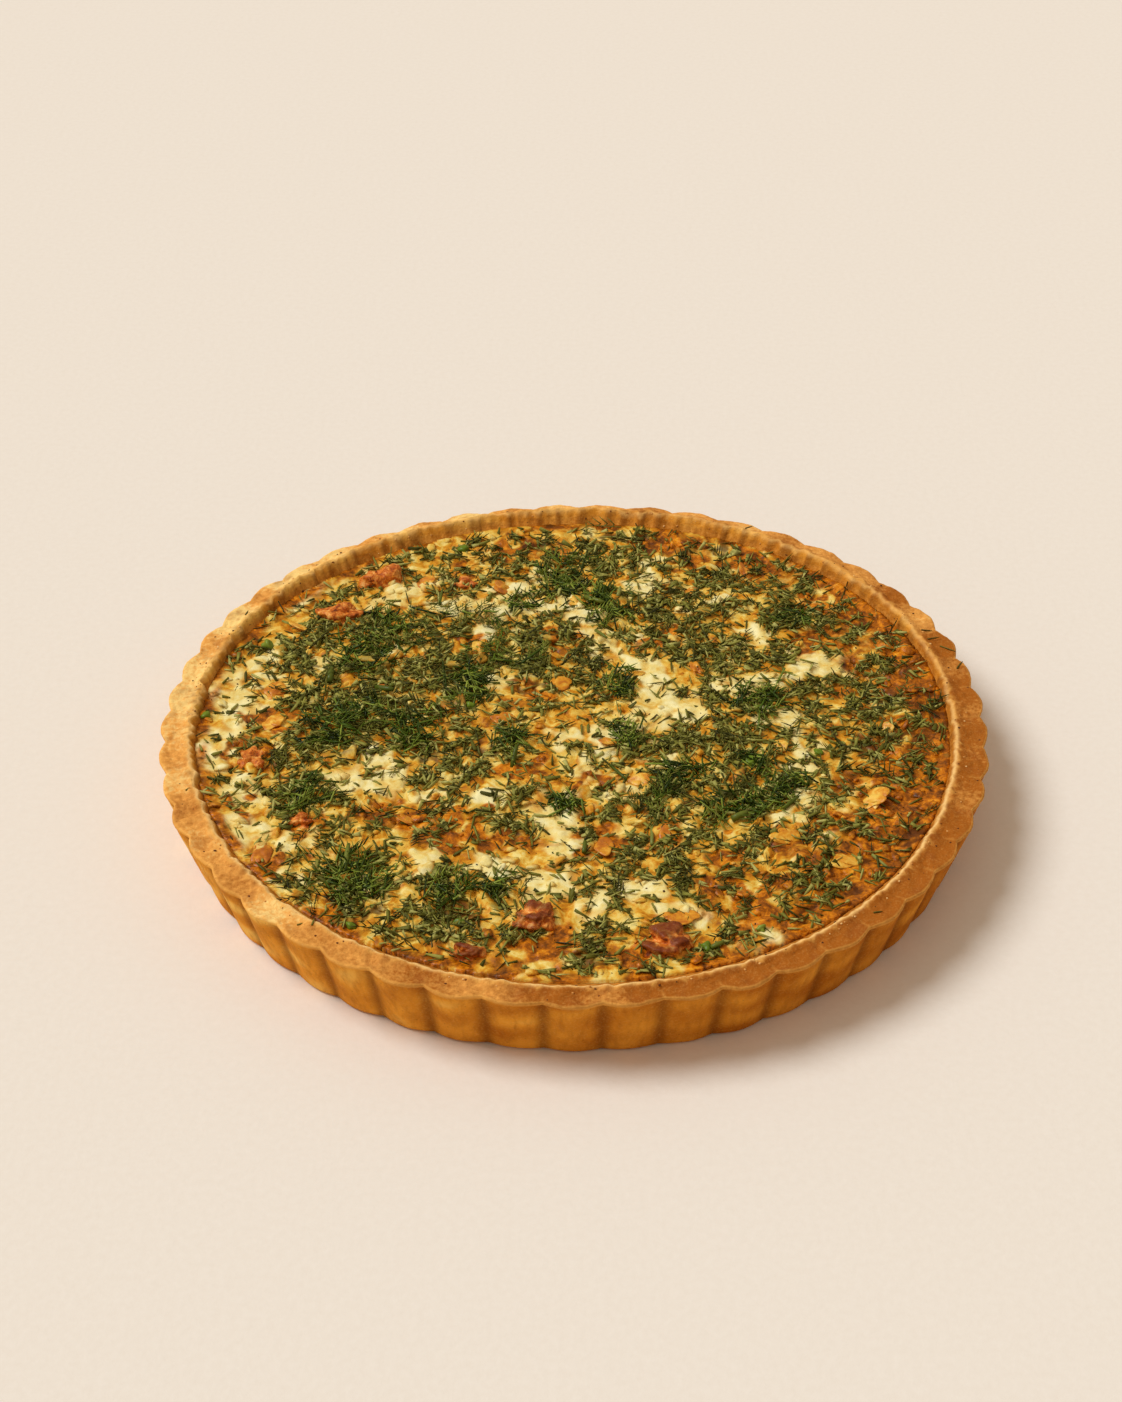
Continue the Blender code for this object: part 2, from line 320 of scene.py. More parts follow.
# ---------------------------------------------------------------- modelling helpers


def deselect_all():
    for thing in bpy.context.view_layer.objects:
        thing.select_set(False)


def start(name):
    """Names the primitive that was just added, and leaves it selected and active."""
    thing = bpy.context.active_object
    thing.name = name
    thing.data.name = name
    return thing


def fix_place(thing):
    deselect_all()
    thing.select_set(True)
    bpy.context.view_layer.objects.active = thing
    bpy.ops.object.transform_apply(location=True, rotation=True, scale=True)


def edit_all():
    """Goes into edit mode with everything selected."""
    bpy.ops.object.mode_set(mode="EDIT")
    bpy.ops.mesh.select_all(action="SELECT")


def extrude(x, y, z):
    bpy.ops.mesh.extrude_region_move(TRANSFORM_OT_translate={"value": (x, y, z)})


def leave_edit():
    """Turns every face outwards and leaves edit mode."""
    bpy.ops.mesh.select_all(action="SELECT")
    bpy.ops.mesh.normals_make_consistent(inside=False)
    bpy.ops.object.mode_set(mode="OBJECT")


def coordinates(mesh):
    flat = np.empty(len(mesh.vertices) * 3)
    mesh.vertices.foreach_get("co", flat)
    return flat.reshape(-1, 3)


def set_coordinates(mesh, points):
    mesh.vertices.foreach_set("co", np.ascontiguousarray(points, dtype=np.float32).ravel())
    mesh.update()


def paint(mesh, name, values):
    """Stores one number for each vertex, for the material to read."""
    layer = mesh.attributes.new(name, "FLOAT", "POINT")
    layer.data.foreach_set("value", np.ascontiguousarray(values, dtype=np.float32))


def strand(name, steps, tip=0.25, bend=0.0, arch=0.0, sides=3):
    """A thin stalk from the origin along +X, one unit long and one unit thick, by repeated extrusion."""
    deselect_all()
    bpy.ops.mesh.primitive_circle_add(
        vertices=sides, radius=0.5, fill_type="NGON", rotation=(0, math.pi / 2, 0)
    )
    thing = start(name)
    fix_place(thing)
    edit_all()
    for step in range(1, steps + 1):
        along = (step - 0.5) / steps - 0.5
        extrude(1.0 / steps, -2 * bend * along / steps, -2 * arch * along / steps)
        target = 1.0 if step < steps else tip
        here = Vector((step / steps, 0.0, 0.0))
        bpy.ops.transform.resize(value=(1.0, target, target), center_override=here)
    leave_edit()
    return thing


def frond(name, pairs, spring, curl):
    """A feathery sprig: one bent stem with pairs of hair-fine leaflets, one unit long."""
    stem = strand(name, 3, tip=0.4, bend=curl, arch=0.05)
    stem.data.transform(Matrix.Diagonal((1.0, 0.055, 0.055, 1.0)))
    parts = [stem]
    for pair in range(pairs):
        along = 0.25 + 0.75 * pair / max(1, pairs - 1)
        length = 0.46 * (1 - 0.45 * abs(along - 0.5))
        side = curl * along * (1 - along) * 2
        for sign in (-1, 1):
            leaf = strand(name + "_leaf", 2, tip=0.3, bend=0.12 * sign, arch=0.08)
            size = Matrix.Diagonal((length, 0.052, 0.052, 1.0))
            turn = Euler((0.0, -spring, sign * (0.9 - 0.35 * along)), "XYZ").to_matrix().to_4x4()
            leaf.data.transform(Matrix.Translation((along, side, 0.0)) @ turn @ size)
            parts.append(leaf)
    deselect_all()
    for part in parts:
        part.select_set(True)
    bpy.context.view_layer.objects.active = stem
    bpy.ops.object.join()
    return stem


def leaf_scrap(name, fold):
    """A chopped, dried scrap of leaf: a small folded blade with a little thickness."""
    deselect_all()
    bpy.ops.mesh.primitive_plane_add(size=1.0, location=(0.5, 0.0, 0.0))
    thing = start(name)
    fix_place(thing)
    edit_all()
    extrude(0.12, 0.0, 0.22)
    bpy.ops.transform.resize(value=(0.82, 0.5, 1.0), center_override=(0.5, 0.0, 0.22))
    leave_edit()
    points = coordinates(thing.data)
    points[:, 2] += fold * (points[:, 1] ** 2) - 0.2 * (points[:, 0] - 0.5) ** 2
    points[:, 1] *= np.where(points[:, 0] > 0.6, 0.45, 1.0)
    set_coordinates(thing.data, points)
    return thing


def discard(things):
    for thing in things:
        mesh = thing.data
        bpy.data.objects.remove(thing)
        bpy.data.meshes.remove(mesh)


def frames_on_surface(x, y, turn, pitch, roll):
    """Rotation matrices whose first axis lies along the custard at this turn."""
    gap = 0.4 * MM
    rise_x = (fill_height(x + gap, y) - fill_height(x - gap, y)) / (2 * gap)
    rise_y = (fill_height(x, y + gap) - fill_height(x, y - gap)) / (2 * gap)
    along = np.stack(
        [np.cos(turn), np.sin(turn), rise_x * np.cos(turn) + rise_y * np.sin(turn) + np.tan(pitch)], 1
    )
    along /= np.linalg.norm(along, axis=1, keepdims=True)
    up = np.stack([-rise_x, -rise_y, np.ones_like(x)], 1)
    side = np.cross(up, along)
    side /= np.linalg.norm(side, axis=1, keepdims=True)
    up = np.cross(along, side)
    turned_side = side * np.cos(roll)[:, None] + up * np.sin(roll)[:, None]
    turned_up = up * np.cos(roll)[:, None] - side * np.sin(roll)[:, None]
    return np.stack([along, turned_side, turned_up], 2)


def scatter(name, models, places, turns, sizes, tones, pick):
    """One joined mesh of many copies of the models; each copy keeps its own tone."""
    points, loops, starts, shades = [], [], [], []
    vertex_base = loop_base = 0
    for number, model in enumerate(models):
        chosen = np.flatnonzero(pick == number)
        if not len(chosen):
            continue
        mesh = model.data
        shape = coordinates(mesh)
        corner = np.empty(len(mesh.loops), dtype=np.int64)
        mesh.loops.foreach_get("vertex_index", corner)
        first = np.empty(len(mesh.polygons), dtype=np.int64)
        mesh.polygons.foreach_get("loop_start", first)
        scaled = shape[None, :, :] * sizes[chosen][:, None, :]
        moved = np.einsum("nij,nvj->nvi", turns[chosen], scaled) + places[chosen][:, None, :]
        over = np.maximum(moved[:, :, 2].max(axis=1) - CEILING, 0.0)
        moved[:, :, 2] -= over[:, None]
        copies = len(chosen)
        points.append(moved.reshape(-1, 3))
        steps = np.arange(copies)[:, None]
        loops.append((corner[None, :] + len(shape) * steps + vertex_base).ravel())
        starts.append((first[None, :] + len(corner) * steps + loop_base).ravel())
        shades.append(np.repeat(tones[chosen], len(shape)))
        vertex_base += copies * len(shape)
        loop_base += copies * len(corner)
    mesh = bpy.data.meshes.new(name)
    points, loops, starts = np.concatenate(points), np.concatenate(loops), np.concatenate(starts)
    mesh.vertices.add(len(points))
    mesh.loops.add(len(loops))
    mesh.polygons.add(len(starts))
    mesh.vertices.foreach_set("co", (points + np.array(HOME)).astype(np.float32).ravel())
    mesh.loops.foreach_set("vertex_index", loops.astype(np.int32))
    mesh.polygons.foreach_set("loop_start", starts.astype(np.int32))
    mesh.update(calc_edges=True)
    paint(mesh, "tone", np.concatenate(shades))
    thing = bpy.data.objects.new(name, mesh)
    bpy.context.scene.collection.objects.link(thing)
    return thing


def random_places(draw, count, likely):
    """Random spots on the filling, more of them where likely(x, y) is high."""
    xs, ys = np.empty(0), np.empty(0)
    while len(xs) < count:
        radius = np.sqrt(draw.uniform(0, 1, 3 * count))
        angle = draw.uniform(0, math.tau, 3 * count)
        radius = radius * (fill_edge(angle) - FILL_MARGIN)
        x, y = radius * np.cos(angle), radius * np.sin(angle)
        kept = draw.uniform(0, 1, 3 * count) < likely(x, y)
        xs, ys = np.concatenate([xs, x[kept]]), np.concatenate([ys, y[kept]])
    return xs[:count], ys[:count]


def lay(name, models, draw, x, y, length, width, lift, pitch):
    """Lays copies of the models on the custard; lift is how far the pile rises."""
    count = len(x)
    turn = draw.uniform(0, math.tau, count)
    turns = frames_on_surface(
        x, y, turn, draw.normal(0, pitch, count), draw.uniform(0, math.tau, count)
    )
    lengths = draw.uniform(*length, count) * MM
    widths = draw.uniform(*width, count) * MM
    sizes = np.stack([lengths, widths, widths], 1)
    middle = turns[:, :, 0] * (0.5 * lengths[:, None])
    height = fill_height(x, y) + lift * draw.uniform(-0.15, 1.0, count)
    places = np.stack([x, y, height], 1) - middle
    pick = draw.integers(0, len(models), count)
    return scatter(name, models, places, turns, sizes, draw.uniform(0, 1, count), pick)


def set_down(name, models, draw, x, y, turn, sizes, rise, tilt=0.12):
    """Sets copies of the models down one by one, each with its own turn, size and rise."""
    count = len(x)
    turns = frames_on_surface(x, y, turn, draw.normal(0, tilt, count), draw.normal(0, tilt, count))
    places = np.stack([x, y, fill_height(x, y) + rise], 1)
    pick = np.arange(count) % len(models)
    return scatter(name, models, places, turns, sizes, draw.uniform(0, 1, count), pick)


def lump(name, seed, detail, roughness):
    """A rough ball one unit across, for peas, curds, crumbs and specks."""
    deselect_all()
    bpy.ops.mesh.primitive_ico_sphere_add(subdivisions=detail, radius=0.5)
    thing = start(name)
    points = coordinates(thing.data)
    bulge = waves(points[:, 0] + points[:, 2], points[:, 1] - points[:, 2], 0.35, seed)
    set_coordinates(thing.data, points * (1 + roughness * bulge)[:, None])
    return thing


# ---------------------------------------------------------------- materials


def linear(red, green, blue):
    """A colour given as the eye sees it, 0 to 255, as the renderer's linear values."""
    def channel(value):
        share = value / 255
        return share / 12.92 if share <= 0.04045 else ((share + 0.055) / 1.055) ** 2.4

    return (channel(red), channel(green), channel(blue), 1.0)


# Where a colour Mix node has its sockets.
MIX_SHARE, MIX_FIRST, MIX_SECOND, MIX_RESULT = 0, 6, 7, 2


class Finish:
    """A short way to write a node material."""

    def __init__(self, name, roughness, specular=0.4):
        self.material = bpy.data.materials.new(name)
        self.material.use_nodes = True
        self.tree = self.material.node_tree
        self.shader = self.tree.nodes["Principled BSDF"]
        self.shader.inputs["Roughness"].default_value = roughness
        self.shader.inputs["Specular IOR Level"].default_value = specular
        self.space = self.tree.nodes.new("ShaderNodeTexCoord").outputs["Object"]

    def put(self, node, socket, value):
        if isinstance(value, bpy.types.NodeSocket):
            self.tree.links.new(value, node.inputs[socket])
        else:
            node.inputs[socket].default_value = value

    def noise(self, size, detail=3.0, rough=0.55, distort=0.0, stretch=None):
        node = self.tree.nodes.new("ShaderNodeTexNoise")
        space = self.space
        if stretch:
            mapping = self.tree.nodes.new("ShaderNodeMapping")
            self.put(mapping, "Vector", space)
            mapping.inputs["Scale"].default_value = stretch
            space = mapping.outputs["Vector"]
        self.put(node, "Vector", space)
        self.put(node, "Scale", 1.0 / size)
        self.put(node, "Detail", detail)
        self.put(node, "Roughness", rough)
        self.put(node, "Distortion", distort)
        return node.outputs["Fac"]

    def cells(self, size):
        node = self.tree.nodes.new("ShaderNodeTexVoronoi")
        self.put(node, "Vector", self.space)
        self.put(node, "Scale", 1.0 / size)
        return node.outputs["Distance"]

    def painted(self, name):
        node = self.tree.nodes.new("ShaderNodeAttribute")
        node.attribute_name = name
        return node.outputs["Fac"]

    def math(self, kind, first, second):
        node = self.tree.nodes.new("ShaderNodeMath")
        node.operation = kind
        self.put(node, 0, first)
        self.put(node, 1, second)
        return node.outputs[0]

    def weighed(self, first, share, second, other_share):
        """Two values added, each by its own share."""
        return self.math(
            "ADD", self.math("MULTIPLY", first, share), self.math("MULTIPLY", second, other_share)
        )

    def between(self, value, low, high, to_low=0.0, to_high=1.0):
        node = self.tree.nodes.new("ShaderNodeMapRange")
        node.interpolation_type = "SMOOTHSTEP"
        self.put(node, "Value", value)
        self.put(node, "From Min", low)
        self.put(node, "From Max", high)
        self.put(node, "To Min", to_low)
        self.put(node, "To Max", to_high)
        return node.outputs["Result"]

    def ramp(self, value, *stops):
        """A run of colours; each stop is its place and its red, green and blue."""
        node = self.tree.nodes.new("ShaderNodeValToRGB")
        self.put(node, "Fac", value)
        elements = node.color_ramp.elements
        while len(elements) < len(stops):
            elements.new(0.5)
        for element, (place, *colour) in zip(elements, stops):
            element.position = place
            element.color = linear(*colour)
        return node.outputs["Color"]

    def mix(self, share, first, second):
        node = self.tree.nodes.new("ShaderNodeMix")
        node.data_type = "RGBA"
        self.put(node, MIX_SHARE, share)
        self.put(node, MIX_FIRST, first)
        self.put(node, MIX_SECOND, second)
        return node.outputs[MIX_RESULT]

    def tint(self, colour, share, strength, shade):
        """The colour, drawn towards a shade by this share of a strength."""
        return self.mix(self.math("MULTIPLY", share, strength), colour, shade)

    def bump(self, height, distance, strength):
        node = self.tree.nodes.new("ShaderNodeBump")
        self.put(node, "Height", height)
        node.inputs["Distance"].default_value = distance
        node.inputs["Strength"].default_value = strength
        previous = self.shader.inputs["Normal"]
        if previous.is_linked:
            self.tree.links.new(previous.links[0].from_socket, node.inputs["Normal"])
        self.tree.links.new(node.outputs["Normal"], self.shader.inputs["Normal"])

    def colour(self, value):
        self.put(self.shader, "Base Color", value)


def pastry_finish():
    look = Finish("baked_pastry", 0.80, 0.06)
    # This painted value holds toasting together with painted light and shade: paler towards the key
    # light, darker on the shaded side.
    toast_and_shade = look.painted("toast_and_shade")
    blotch = look.noise(6.0 * MM, 4)
    fine = look.noise(1.6 * MM, 4, 0.65)
    grain = look.noise(0.6 * MM, 3, 0.65)
    streak = look.noise(2.4 * MM, 4, 0.6, stretch=(1.0, 1.0, 0.25))
    wall = look.ramp(
        look.weighed(toast_and_shade, 0.75, blotch, 0.40),
        (0.15, 255, 202, 98), (0.45, 234, 156, 48), (0.90, 184, 104, 14),
    )
    wall = look.mix(look.between(streak, 0.40, 0.70, 0.0, 0.40), wall, linear(158, 86, 14))
    # Painted shade: the creases between the flutes are darkened.
    wall = look.tint(wall, look.painted("crease"), 0.60, linear(112, 58, 8))
    pillow = look.ramp(
        look.weighed(toast_and_shade, 0.55, fine, 0.60),
        (0.30, 255, 214, 134), (0.48, 240, 168, 82), (0.78, 168, 94, 26),
    )
    pillow = look.mix(look.between(blotch, 0.50, 0.70, 0.0, 0.45), pillow, linear(150, 80, 30))
    colour = look.mix(look.painted("top"), wall, pillow)
    # The lower inner face is browner: partly the pastry's own colour, partly painted shade.
    inner = look.ramp(
        fine, (0.30, 224, 152, 66), (0.52, 192, 118, 38), (0.75, 146, 80, 18)
    )
    colour = look.tint(colour, look.painted("inside"), 0.8, inner)
    # Painted shade in the fingertip grooves of the inner face.
    colour = look.tint(colour, look.painted("groove"), 0.65, linear(128, 68, 12))
    colour = look.mix(look.between(grain, 0.45, 0.80, 0.0, 0.20), colour, linear(250, 196, 112))
    # Paler lines at the rim's edge and pinches, and a painted highlight along the lip's ridge.
    edge = look.math("MULTIPLY", look.painted("edge"), look.between(fine, 0.30, 0.65, 0.30, 0.62))
    colour = look.mix(edge, colour, linear(248, 184, 92))
    # A painted highlight along the crest of the lip.
    lip_highlight = look.math("MULTIPLY", look.painted("lip"), look.between(fine, 0.25, 0.60, 0.55, 0.95))
    colour = look.mix(lip_highlight, colour, linear(252, 206, 134))
    pits = look.between(look.cells(2.6 * MM), 0.0, 0.16, 1.0, 0.0)
    colour = look.tint(colour, pits, 0.45, linear(112, 58, 14))
    look.colour(colour)
    look.bump(fine, 0.55 * MM, 0.7)
    look.bump(grain, 0.20 * MM, 0.7)
    return look.material


def custard_finish():
    look = Finish("set_custard", 0.42, 0.18)
    cream, brown = look.painted("cream"), look.painted("brown")
    char, herb = look.painted("char"), look.painted("herb")
    curd = look.noise(6.5 * MM, 4, 0.60, 0.9)
    speck = look.noise(1.4 * MM, 4, 0.7)
    blend = look.weighed(curd, 0.78, speck, 0.22)
    base = look.ramp(
        blend, (0.36, 244, 222, 138), (0.45, 234, 192, 82),
        (0.53, 218, 148, 30), (0.61, 182, 106, 12), (0.70, 118, 68, 8),
    )
    pale = look.ramp(blend, (0.40, 250, 237, 178), (0.54, 241, 216, 132), (0.66, 226, 176, 70))
    soft = look.math("ADD", cream, look.math("MULTIPLY", look.math("SUBTRACT", curd, 0.5), 0.9))
    colour = look.mix(look.between(soft, 0.10, 0.80), base, pale)
    roasted = look.ramp(
        look.weighed(curd, 0.5, look.noise(2.2 * MM, 4, 0.7, 0.8), 0.5),
        (0.36, 240, 164, 40), (0.44, 214, 124, 14),
        (0.52, 160, 86, 8), (0.60, 106, 56, 6), (0.70, 62, 32, 6),
    )
    caught = look.between(look.math("ADD", brown, look.math("MULTIPLY", curd, 0.7)), 0.45, 1.10)
    colour = look.mix(caught, colour, roasted)
    # Under the dill the custard turns olive: partly the herb's own colour, partly painted shade in the
    # gaps under the shreds.
    matted = look.ramp(
        blend, (0.36, 92, 86, 24), (0.48, 138, 118, 44), (0.56, 176, 136, 50), (0.66, 108, 76, 22)
    )
    shade = look.between(look.math("ADD", herb, look.math("MULTIPLY", curd, 0.6)), 0.70, 1.3, 0.0, 0.65)
    colour = look.mix(shade, colour, matted)
    colour = look.tint(colour, char, 0.8, linear(80, 38, 6))
    look.colour(colour)
    dry = look.between(speck, 0.3, 0.7, 0.34, 0.62)
    sheen = look.math("SUBTRACT", dry, look.math("MULTIPLY", caught, 0.12))
    look.put(look.shader, "Roughness", sheen)
    look.bump(look.noise(2.6 * MM, 4, 0.6), 0.5 * MM, 0.45)
    look.bump(speck, 0.22 * MM, 0.6)
    return look.material


def herb_finish(name, *stops, roughness=0.6):
    look = Finish(name, roughness, 0.20)
    colour = look.ramp(look.painted("tone"), *stops)
    streak = look.noise(0.9 * MM, 2, 0.6)
    colour = look.mix(look.between(streak, 0.3, 0.8, 0.0, 0.35), colour, linear(*stops[0][1:]))
    look.colour(colour)
    look.bump(streak, 0.1 * MM, 0.4)
    return look.material


def salmon_finish():
    look = Finish("flaked_salmon", 0.45, 0.22)
    torn = look.noise(2.4 * MM, 4, 0.68, 0.6)
    flesh = look.ramp(
        torn, (0.34, 250, 188, 106), (0.44, 236, 144, 54),
        (0.54, 198, 96, 20), (0.66, 108, 44, 8),
    )
    seam = look.between(look.painted("band"), 0.0, 0.16, 0.35, 0.0)
    colour = look.mix(seam, flesh, linear(244, 186, 104))
    scorch = look.math("ADD", look.painted("crown"), look.noise(2.0 * MM, 4, 0.65))
    colour = look.mix(look.between(scorch, 0.50, 1.20, 0.0, 0.85), colour, linear(106, 42, 10))
    look.colour(colour)
    look.bump(torn, 0.6 * MM, 0.7)
    look.bump(look.noise(0.8 * MM, 4, 0.6), 0.25 * MM, 0.7)
    return look.material


# ---------------------------------------------------------------- pieces


CASE_PROFILE = [Station(*row) for row in (
    (0.1145, 0.0, 0.9, 0, 0.00, 0), (0.1154, 0.2 * MM, 1, 0, 0.05, 0),
    (0.1163, 0.9 * MM, 1, 0, 0.20, 0), (0.1177, 6.0 * MM, 1, 0, 0.30, 0),
    (0.1192, 11.5 * MM, 1, 0, 0.30, 0), (0.1206, 16.5 * MM, 1, 0, 0.30, 0),
    (0.1217, HEIGHT - 2.0 * MM, 1, 0, 0.35, 0), (0.1222, HEIGHT - 0.7 * MM, 1, 0, 0.45, 0),
    (0.1222, HEIGHT, 0.97, 0, 0.5, 0), (0.1217, HEIGHT + 0.2 * MM, 0.85, 0, 0.7, 0),
    (0.1209, HEIGHT, 0.6, 0.1, 1.0, 0), (0.1197, HEIGHT - 0.2 * MM, 0.3, 0.4, 1.0, 0.05),
    (0.1184, HEIGHT, 0.08, 0.75, 1.0, 0.15), (0.1174, HEIGHT + 0.5 * MM, 0, 0.95, 0.8, 0.35),
    (0.1166, HEIGHT + 0.7 * MM, 0, 1, 0.7, 0.6), (0.1159, HEIGHT + 0.5 * MM, 0, 1, 0.6, 0.9),
    (0.1153, HEIGHT - 0.1 * MM, 0, 1, 0.5, 1.0), (0.1147, HEIGHT - 0.9 * MM, 0, 0.8, 0.5, 1.0),
    (0.1140, HEIGHT - 1.7 * MM, 0, 0.5, 0.4, 0.9), (0.1133, HEIGHT - 2.4 * MM, 0, 0.2, 0.3, 0.6),
    (0.1125, HEIGHT - 3.4 * MM, 0, 0, 0.2, 0.2), (0.1115, 14.0 * MM, 0, 0, 0, 0),
    (0.1095, 4.5 * MM, 0, 0, 0, 0),
)]
# How many rings lie from one station to the next.
CASE_STEPS = (1, 1, 6, 6, 6, 4, 3, 2, 2, 3, 4, 5, 4, 3, 3, 3, 4, 4, 4, 3, 2, 2)
CASE_POINTS = FLUTES * STEPS_PER_FLUTE  # round each ring
# Paler lines round the rim, as distances from the middle; at the lip they are painted highlight along its
# ridge.
RIM_EDGE = 0.1221
LIP_RADIUS = 0.1163
LIP_CREST = 0.1160
Skin = namedtuple("Skin", "angle arc radius height lobes ripple fingers on_rim")


def case_rings():
    """Every ring of the case as an interpolated station."""
    rings = []
    for first, second, steps in zip(CASE_PROFILE, CASE_PROFILE[1:], CASE_STEPS):
        for step in range(steps):
            share = step / steps
            rings.append(Station(*(a + (b - a) * share for a, b in zip(first, second))))
    rings.append(CASE_PROFILE[-1])
    return rings


def draw_up_case(rings):
    """A disc drawn up ring by ring: up the wall, over the rim and down inside."""
    deselect_all()
    bpy.ops.mesh.primitive_circle_add(vertices=CASE_POINTS, radius=rings[0].radius, fill_type="NGON")
    case = start("pastry_case")
    edit_all()
    for below, above in zip(rings, rings[1:]):
        extrude(0.0, 0.0, above.height - below.height)
        grow = above.radius / below.radius
        bpy.ops.transform.resize(value=(grow, grow, 1.0), center_override=(0.0, 0.0, above.height))
    leave_edit()
    return case


def shape_case(mesh, rings):
    """Flutes the case, sets its hollow off centre and roughens it; returns what its finish needs."""
    points = coordinates(mesh)
    number = np.arange(len(points)) // CASE_POINTS
    angle = angle_of(points[:, 0], points[:, 1]) + math.tau * FLUTE_PHASE / FLUTES
    radius, height, flute, ridge, crumb, ripple = np.array(rings)[number].T
    lobes = lobe(angle)
    depth = BASE_FLUTE_DEPTH + (TOP_FLUTE_DEPTH - BASE_FLUTE_DEPTH) * height / HEIGHT
    # The flutes vary a little in depth.
    uneven = 1 + 0.14 * waves(angle, angle * 0, 0.16, 71)
    out = flute * depth * uneven * lobes
    # Once the profile has reached the ridge, it follows the hollow inside.
    shares = np.maximum.accumulate([ring.ridge for ring in rings])[number]
    out = out + shares * waved(HOLLOW_SHIFT, angle) + ridge * waved(RIDGE_OVAL, angle)
    # Fingertips left grooves in the inner face, deepest towards -X and +Y.
    arc = angle * RIDGE_RADIUS
    facing = smooth(-np.cos(angle) + 1.3 * np.sin(angle), -0.9, 0.7)
    fingers = waves(arc, height * 0.15, 2.3 * MM, 72) * (0.35 + 0.65 * facing)
    out = out - ripple * 0.45 * MM * fingers
    rough = 0.10 * waves(arc, height + radius, 3.4 * MM, 73)
    rough = rough + 0.05 * waves(arc, height - radius, 1.3 * MM, 74)
    out = out + (crumb - 0.35 * ripple) * rough * MM * 0.8
    on_rim = height > HEIGHT - 0.8 * MM
    lift = ridge * FAR_LIFT * farness(angle)
    # The rim's top is a pillow over each flute.
    pillow = np.clip(crumb - 0.45, 0, 1) * (0.55 * np.sqrt(lobes) - 0.25) * MM
    lift = lift + pillow * (1 - 0.8 * ridge)
    crumbs = 0.14 * waves(arc, radius, 2.8 * MM, 75) + 0.09 * waves(arc, radius, 1.1 * MM, 76)
    lift = lift + crumb * MM * crumbs * on_rim
    swell = 0.16 * waves(arc, radius * 0, 5.0 * MM, 77) + 0.12 * waves(arc, radius * 0, 1.8 * MM, 80)
    lift = lift + ridge * MM * swell
    wide = (radius + out) * (1 + roundness(angle))
    moved = np.stack([wide * np.cos(angle), wide * np.sin(angle), np.maximum(height + lift, 0.0)], 1)
    set_coordinates(mesh, moved + np.array(HOME))
    return Skin(angle, arc, radius, height, lobes, ripple, fingers, on_rim)


def line_at(radius, place, width):
    """1 on a line round the case at this place, fading out over this width."""
    return np.exp(-(((radius - place) / width) ** 2))


def paint_case(mesh, skin):
    """What the pastry's finish reads: toasting with painted light and shade, paler lines, painted shade
    in creases and grooves.
    """
    angle, arc, radius, height, lobes, ripple, fingers, on_rim = skin
    # Toasting with painted light and shade: palest at 150 degrees, the side the key light comes from, and
    # brownest at -30, the shaded side, with random toasting over it. The rim is darker near -54 degrees,
    # and the crests of the flutes are painted paler than the creases, as painted light.
    shade_side = 0.5 - 0.5 * np.cos(angle - math.radians(150))
    toast_and_shade = 0.15 + 0.75 * shade_side + 0.14 * waves(arc, height * 2, 12 * MM, 78)
    toast_and_shade = toast_and_shade + 0.40 * smooth(np.cos(angle + 0.95), 0.75, 1.0) * on_rim
    toast_and_shade = toast_and_shade - 0.12 * lobes * (height < HEIGHT - MM)
    paint(mesh, "toast_and_shade", np.clip(toast_and_shade, 0, 1))
    top = smooth(height, HEIGHT - 0.7 * MM, HEIGHT - 0.2 * MM)
    paint(mesh, "top", top * (1 - smooth(ripple, 0.4, 0.9)))
    # Paler lines: the rim's outer edge, the pinches between flutes, and a painted highlight along the
    # lip's ridge.
    rim_line = line_at(radius, RIM_EDGE, 0.00022) * on_rim
    pinch = (1 - smooth(lobes, 0.0, 0.16)) * on_rim * smooth(radius, 0.1186, 0.1200)
    lip = LIP_RADIUS + 0.0005 * waves(arc, radius * 0, 2.2 * MM, 79)
    ridge_highlight = line_at(radius, lip, 0.0006) * on_rim
    paint(mesh, "edge", np.clip(rim_line + 0.35 * pinch + ridge_highlight, 0, 1))
    # A painted highlight along the crest of the lip round the filling, strongest on the side towards -Y.
    crest = LIP_CREST + 0.0002 * waves(arc, radius * 0, 9 * MM, 83)
    lip_highlight_line = line_at(radius, crest, 0.0006) * on_rim
    paint(mesh, "lip", lip_highlight_line * (0.35 + 0.65 * smooth(-np.sin(angle), -0.3, 0.4)))
    # Painted shade in the creases between the flutes, on the wall below the rim.
    paint(mesh, "crease", (1 - smooth(lobes, 0.0, 0.65)) * (height < HEIGHT - 0.9 * MM))
    # The lower inner face is browner: partly the pastry's own colour, partly painted shade.
    paint(mesh, "inside", smooth(-radius, -0.1156, -0.1138))
    # Painted shade at the bottom of the fingertip grooves in the inner face.
    paint(mesh, "groove", np.clip(ripple * fingers, 0, 1))


def make_case():
    """The pastry, drawn up, fluted, toasted and painted with light and shade."""
    rings = case_rings()
    case = draw_up_case(rings)
    paint_case(case.data, shape_case(case.data, rings))
    case.data.materials.append(pastry_finish())
    case.data.shade_smooth()
    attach(case, "root")
    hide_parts("crust")
    return case


